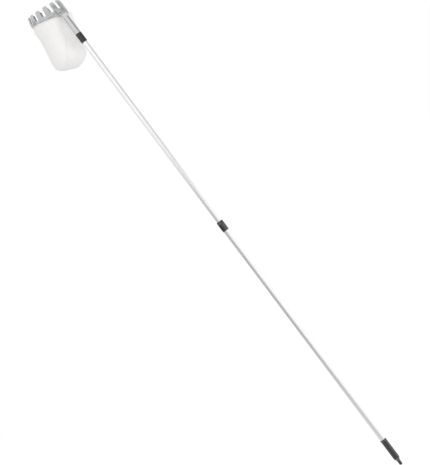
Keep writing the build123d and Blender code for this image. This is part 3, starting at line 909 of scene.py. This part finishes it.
def build_stitching():
    """Rows of lockstitch: one round the hem and two down the side seam."""
    step, level_step = STITCH_STEP * sizes().stitch, 0.01
    bm = bmesh.new()
    count = round(2 * pi * HEM_R / step)
    radius, height = HEM_R + sizes().tape / 2 + HEM_STITCH_OUT, HEM_LOW + HEM_STITCH_UP
    for k in range(count):
        turns = (2 * pi * k / count, 2 * pi * (k + STITCH_SHOWN) / count)
        start, end = (HEAD @ Vector((radius * cos(t), radius * sin(t), height)) for t in turns)
        add_stitch(bm, start, end, start - HEAD.translation)
    for aside in (-SEAM_STITCH, SEAM_STITCH):
        level = SEAM_STITCH_FROM
        start = bag_point(aside, level, THREAD / 2)
        while level < SEAM_STITCH_TO:
            level += level_step
            end = bag_point(aside, level, THREAD / 2)
            if (end - start).length >= step:
                add_stitch(bm, start, start.lerp(end, STITCH_SHOWN), start - HEM_CENTRE)
                start = end
    add_piece(bm, "bag_stitching", twisted_thread(), clean=False)


# Stage


def build_floor():
    """Pale floor under the pole's tip: white to the eye, with the object's soft shadow on it."""
    material = bpy.data.materials.new("pale studio floor")
    tree = empty_tree(material)
    path = add_node(tree, "LightPath", {})
    seen = path.outputs["Is Camera Ray"]
    for ray in ("Is Glossy Ray", "Is Transmission Ray"):
        seen = add_node(tree, "Math", {0: seen, 1: path.outputs[ray]}, operation="MAXIMUM")
    matt = add_node(tree, "BsdfDiffuse", {"Color": (*linear("F2F2F2"), 1)})
    half = add_node(tree, "BsdfDiffuse", {"Color": (*linear("A8A8A8"), 1)})
    glow = add_node(tree, "Emission", {"Color": (1, 1, 1, 1), "Strength": 0.72})
    white = add_node(tree, "AddShader", {0: half, 1: glow})
    mixed = add_node(tree, "MixShader", {0: seen, 1: matt, 2: white})
    add_node(tree, "OutputMaterial", {"Surface": mixed})
    below = 0.5 * MM
    bm = bmesh.new()
    bmesh.ops.create_circle(bm, cap_ends=True, segments=96, radius=40.0)
    bmesh.ops.translate(bm, verts=bm.verts, vec=(0, 0, CAD_BOX[0].z - below))
    mesh = bpy.data.meshes.new("floor")
    bm.to_mesh(mesh)
    bm.free()
    mesh.materials.append(material)
    floor = add_object("floor", mesh)
    floor.visible_glossy = False


def build_world():
    """White studio round the object, with dark gaps between its screens for metal to mirror."""
    world = bpy.data.worlds.new("white studio")
    bpy.context.scene.world = world
    tree = empty_tree(world)
    path = add_node(tree, "LightPath", {})
    way = add_node(tree, "TexCoord", {}).outputs["Generated"]
    # Angles are counted from the camera towards its right, and up from eye level
    front = add_node(tree, "Mapping", {"Vector": way, "Rotation": (0, 0, pi / 2 - CAMERA_AZIMUTH)})
    axes = add_node(tree, "SeparateXYZ", {"Vector": front})
    azimuth = add_node(tree, "Math", {0: axes.outputs["Y"], 1: axes.outputs["X"]}, operation="ARCTAN2")
    rise = add_node(tree, "Math", {0: axes.outputs["Z"]}, operation="ARCSINE")
    # The gap stands on the right above eye level, runs across, and stands on the left below it
    course = add_node(tree, "MapRange", {
        "Value": rise, "From Min": radians(1.0), "From Max": radians(4.5),
        "To Min": radians(-57.0), "To Max": radians(94.0),
    }, interpolation_type="SMOOTHSTEP")
    foot = add_node(tree, "MapRange", {
        "Value": rise, "From Min": radians(-11.0), "From Max": radians(-5.5),
        "To Min": radians(50.0), "To Max": 0.0,
    })
    course = add_node(tree, "Math", {0: course, 1: foot}, operation="ADD")
    # It is darkest a little below eye level
    from_dark = add_node(tree, "Math", {0: rise, 1: radians(2.5)}, operation="ADD")
    from_dark = add_node(tree, "Math", {0: from_dark}, operation="ABSOLUTE")
    depth = add_node(tree, "MapRange", {
        "Value": from_dark, "From Min": radians(3.5), "From Max": radians(8.0),
        "To Min": 0.26, "To Max": 0.46,
    })
    # A second, fainter gap stands far round on the left
    shades = []
    for centre, half, out, dark in (
        (course, 12.0, 87.0, depth),
        (radians(-112.0), 12.0, 60.0, 0.60),
    ):
        aside = add_node(tree, "Math", {0: azimuth, 1: centre}, operation="SUBTRACT")
        aside = add_node(tree, "Math", {0: aside, 1: -pi, 2: pi}, operation="WRAP")
        aside = add_node(tree, "Math", {0: aside}, operation="ABSOLUTE")
        shades.append(add_node(tree, "MapRange", {
            "Value": aside, "From Min": radians(half), "From Max": radians(out),
            "To Min": dark, "To Max": 1.0,
        }, interpolation_type="SMOOTHSTEP"))
    gap = add_node(tree, "Math", {0: shades[0], 1: shades[1]}, operation="MULTIPLY")
    # Both end well above and below eye level, at a bright ceiling and floor
    steep = add_node(tree, "Math", {0: rise}, operation="ABSOLUTE")
    ends = add_node(tree, "MapRange", {
        "Value": steep, "From Min": radians(12.0), "From Max": radians(21.0),
    })
    gap = add_node(tree, "Math", {0: gap, 1: ends}, operation="MAXIMUM")
    mirrored, plain, white = (
        add_node(tree, "Background", {"Strength": strength, "Color": (1, 1, 1, 1)})
        for strength in (gap, 0.88, 1.0)
    )
    unseen = add_node(tree, "MixShader", {0: path.outputs["Is Glossy Ray"], 1: plain, 2: mirrored})
    through = add_node(tree, "Math", {
        0: path.outputs["Is Camera Ray"], 1: path.outputs["Is Transmission Ray"],
    }, operation="MAXIMUM")
    seen = add_node(tree, "MixShader", {0: through, 1: unseen, 2: white})
    add_node(tree, "OutputWorld", {"Surface": seen})


def camera_axes():
    """Right, up and back of the level camera."""
    right = Vector((cos(CAMERA_AZIMUTH), sin(CAMERA_AZIMUTH), 0))
    up = Vector((0, 0, 1))
    return right, up, right.cross(up)


def build_lamps():
    """Two large soft lamps: one beside the camera and one low on the right."""
    right, up, back = camera_axes()
    target = Vector((0, 0, CAMERA_UP))
    for name, energy, place in (
        ("front screen", 22.0, target + right * 0.5 + back * 3.4 + up * 0.7),
        ("side screen", 12.0, target + right * 3.0 + back * 1.0 - up * 0.2),
    ):
        lamp = bpy.data.lights.new(name, "AREA")
        lamp.shape = "RECTANGLE"
        lamp.size, lamp.size_y = 2.4, 3.4
        lamp.energy = energy
        screen = add_object(name, lamp)
        screen.visible_glossy = False
        aim = (target - place).to_track_quat("-Z", "Y")
        screen.matrix_world = Matrix.Translation(place) @ aim.to_matrix().to_4x4()


def build_camera():
    """Level camera, rolled so that the pole leans as in the photograph."""
    right, up, back = camera_axes()
    data = bpy.data.cameras.new("camera")
    data.lens = CAMERA_LENS
    data.sensor_width = 36.0
    data.clip_end = 200.0
    camera = add_object("camera", data)
    rolled_right = right * cos(CAMERA_ROLL) + up * sin(CAMERA_ROLL)
    rolled_up = up * cos(CAMERA_ROLL) - right * sin(CAMERA_ROLL)
    turn = Matrix((rolled_right, rolled_up, back)).transposed().to_4x4()
    place = back * CAMERA_AWAY + right * CAMERA_ASIDE + up * CAMERA_UP
    camera.matrix_world = Matrix.Translation(place) @ turn
    bpy.context.scene.camera = camera


# Operators


class PICKER_OT_tubes(Operator):
    """Finish the two tubes"""

    bl_idname = "picker.tubes"
    bl_label = "Tubes"

    def execute(self, context):
        dress(["lower_tube", "upper_tube"], drawn_aluminium())
        return {"FINISHED"}


class PICKER_OT_mouldings(Operator):
    """Finish the black grip, collar and ferrule"""

    bl_idname = "picker.mouldings"
    bl_label = "Black Mouldings"

    def execute(self, context):
        glossy = moulded_black("black polypropylene, moulded with a fine grain", gloss_level=1.0)
        dress(["hand_grip", "mid_collar"], glossy)
        # The ferrule is a duller moulding, so it looks blacker than the other two
        dull = moulded_black("black polypropylene, moulded with a dull grain", gloss_level=0.6)
        dress(["head_ferrule"], dull)
        return {"FINISHED"}


class PICKER_OT_lock(Operator):
    """Finish the hidden nylon and steel pieces and thread the stud"""

    bl_idname = "picker.lock"
    bl_label = "Twist Lock"

    def execute(self, context):
        plugs = ["tube_end_plug", "lock_plug", "tube_top_plug"]
        dress([*plugs, "guide_bush", "expander_sleeve", "lock_cone"], moulded_nylon())
        steel = satin_metal("steel, zinc plated", linear("BFC1C4"), rough=(0.24, 0.38))
        dress(["plug_pin", "stop_nut"], steel)
        build_stud()
        return {"FINISHED"}


class PICKER_OT_socket(Operator):
    """Model the socket under the crown and its screw"""

    bl_idname = "picker.socket"
    bl_label = "Socket"

    def execute(self, context):
        build_socket()
        build_screw()
        return {"FINISHED"}


class PICKER_OT_crown(Operator):
    """Model the stamped crown"""

    bl_idname = "picker.crown"
    bl_label = "Crown"

    def execute(self, context):
        build_crown()
        return {"FINISHED"}


class PICKER_OT_rivets(Operator):
    """Model the rivets of the hem and the socket"""

    bl_idname = "picker.rivets"
    bl_label = "Rivets"

    def execute(self, context):
        build_rivets()
        return {"FINISHED"}


class PICKER_OT_bag(Operator):
    """Model the cotton bag with its hem and stitching"""

    bl_idname = "picker.bag"
    bl_label = "Bag"

    def execute(self, context):
        build_bag()
        build_hem()
        build_stitching()
        return {"FINISHED"}


class PICKER_OT_stage(Operator):
    """Set the floor, light and camera"""

    bl_idname = "picker.stage"
    bl_label = "Stage"

    def execute(self, context):
        context.scene.view_settings.view_transform = "Standard"
        build_floor()
        build_world()
        build_lamps()
        build_camera()
        return {"FINISHED"}


OPERATORS = (
    PICKER_OT_tubes, PICKER_OT_mouldings, PICKER_OT_lock, PICKER_OT_socket, PICKER_OT_crown,
    PICKER_OT_rivets, PICKER_OT_bag, PICKER_OT_stage,
)


class PICKER_PT_panel(Panel):
    """Sidebar panel with the pieces and their settings"""

    bl_idname = "PICKER_PT_panel"
    bl_label = "Fruit Picker Pole"
    bl_space_type = "VIEW_3D"
    bl_region_type = "UI"
    bl_category = "Picker Pole"

    def draw(self, context):
        for group in (context.scene.picker_sizes, context.scene.picker_colours):
            column = self.layout.column()
            for name in group.__annotations__:
                column.prop(group, name)
        for operator in OPERATORS:
            self.layout.operator(operator.bl_idname)


CLASSES = (PickerSizes, PickerColours, *OPERATORS, PICKER_PT_panel)


def register():
    for item in CLASSES:
        bpy.utils.register_class(item)
    bpy.types.Scene.picker_sizes = PointerProperty(type=PickerSizes)
    bpy.types.Scene.picker_colours = PointerProperty(type=PickerColours)


def unregister():
    del bpy.types.Scene.picker_colours
    del bpy.types.Scene.picker_sizes
    for item in reversed(CLASSES):
        bpy.utils.unregister_class(item)


def main():
    register()
    bpy.ops.picker.tubes()
    bpy.ops.picker.mouldings()
    bpy.ops.picker.lock()
    bpy.ops.picker.socket()
    bpy.ops.picker.crown()
    bpy.ops.picker.rivets()
    bpy.ops.picker.bag()
    bpy.ops.picker.stage()


if __name__ == "__main__":
    main()
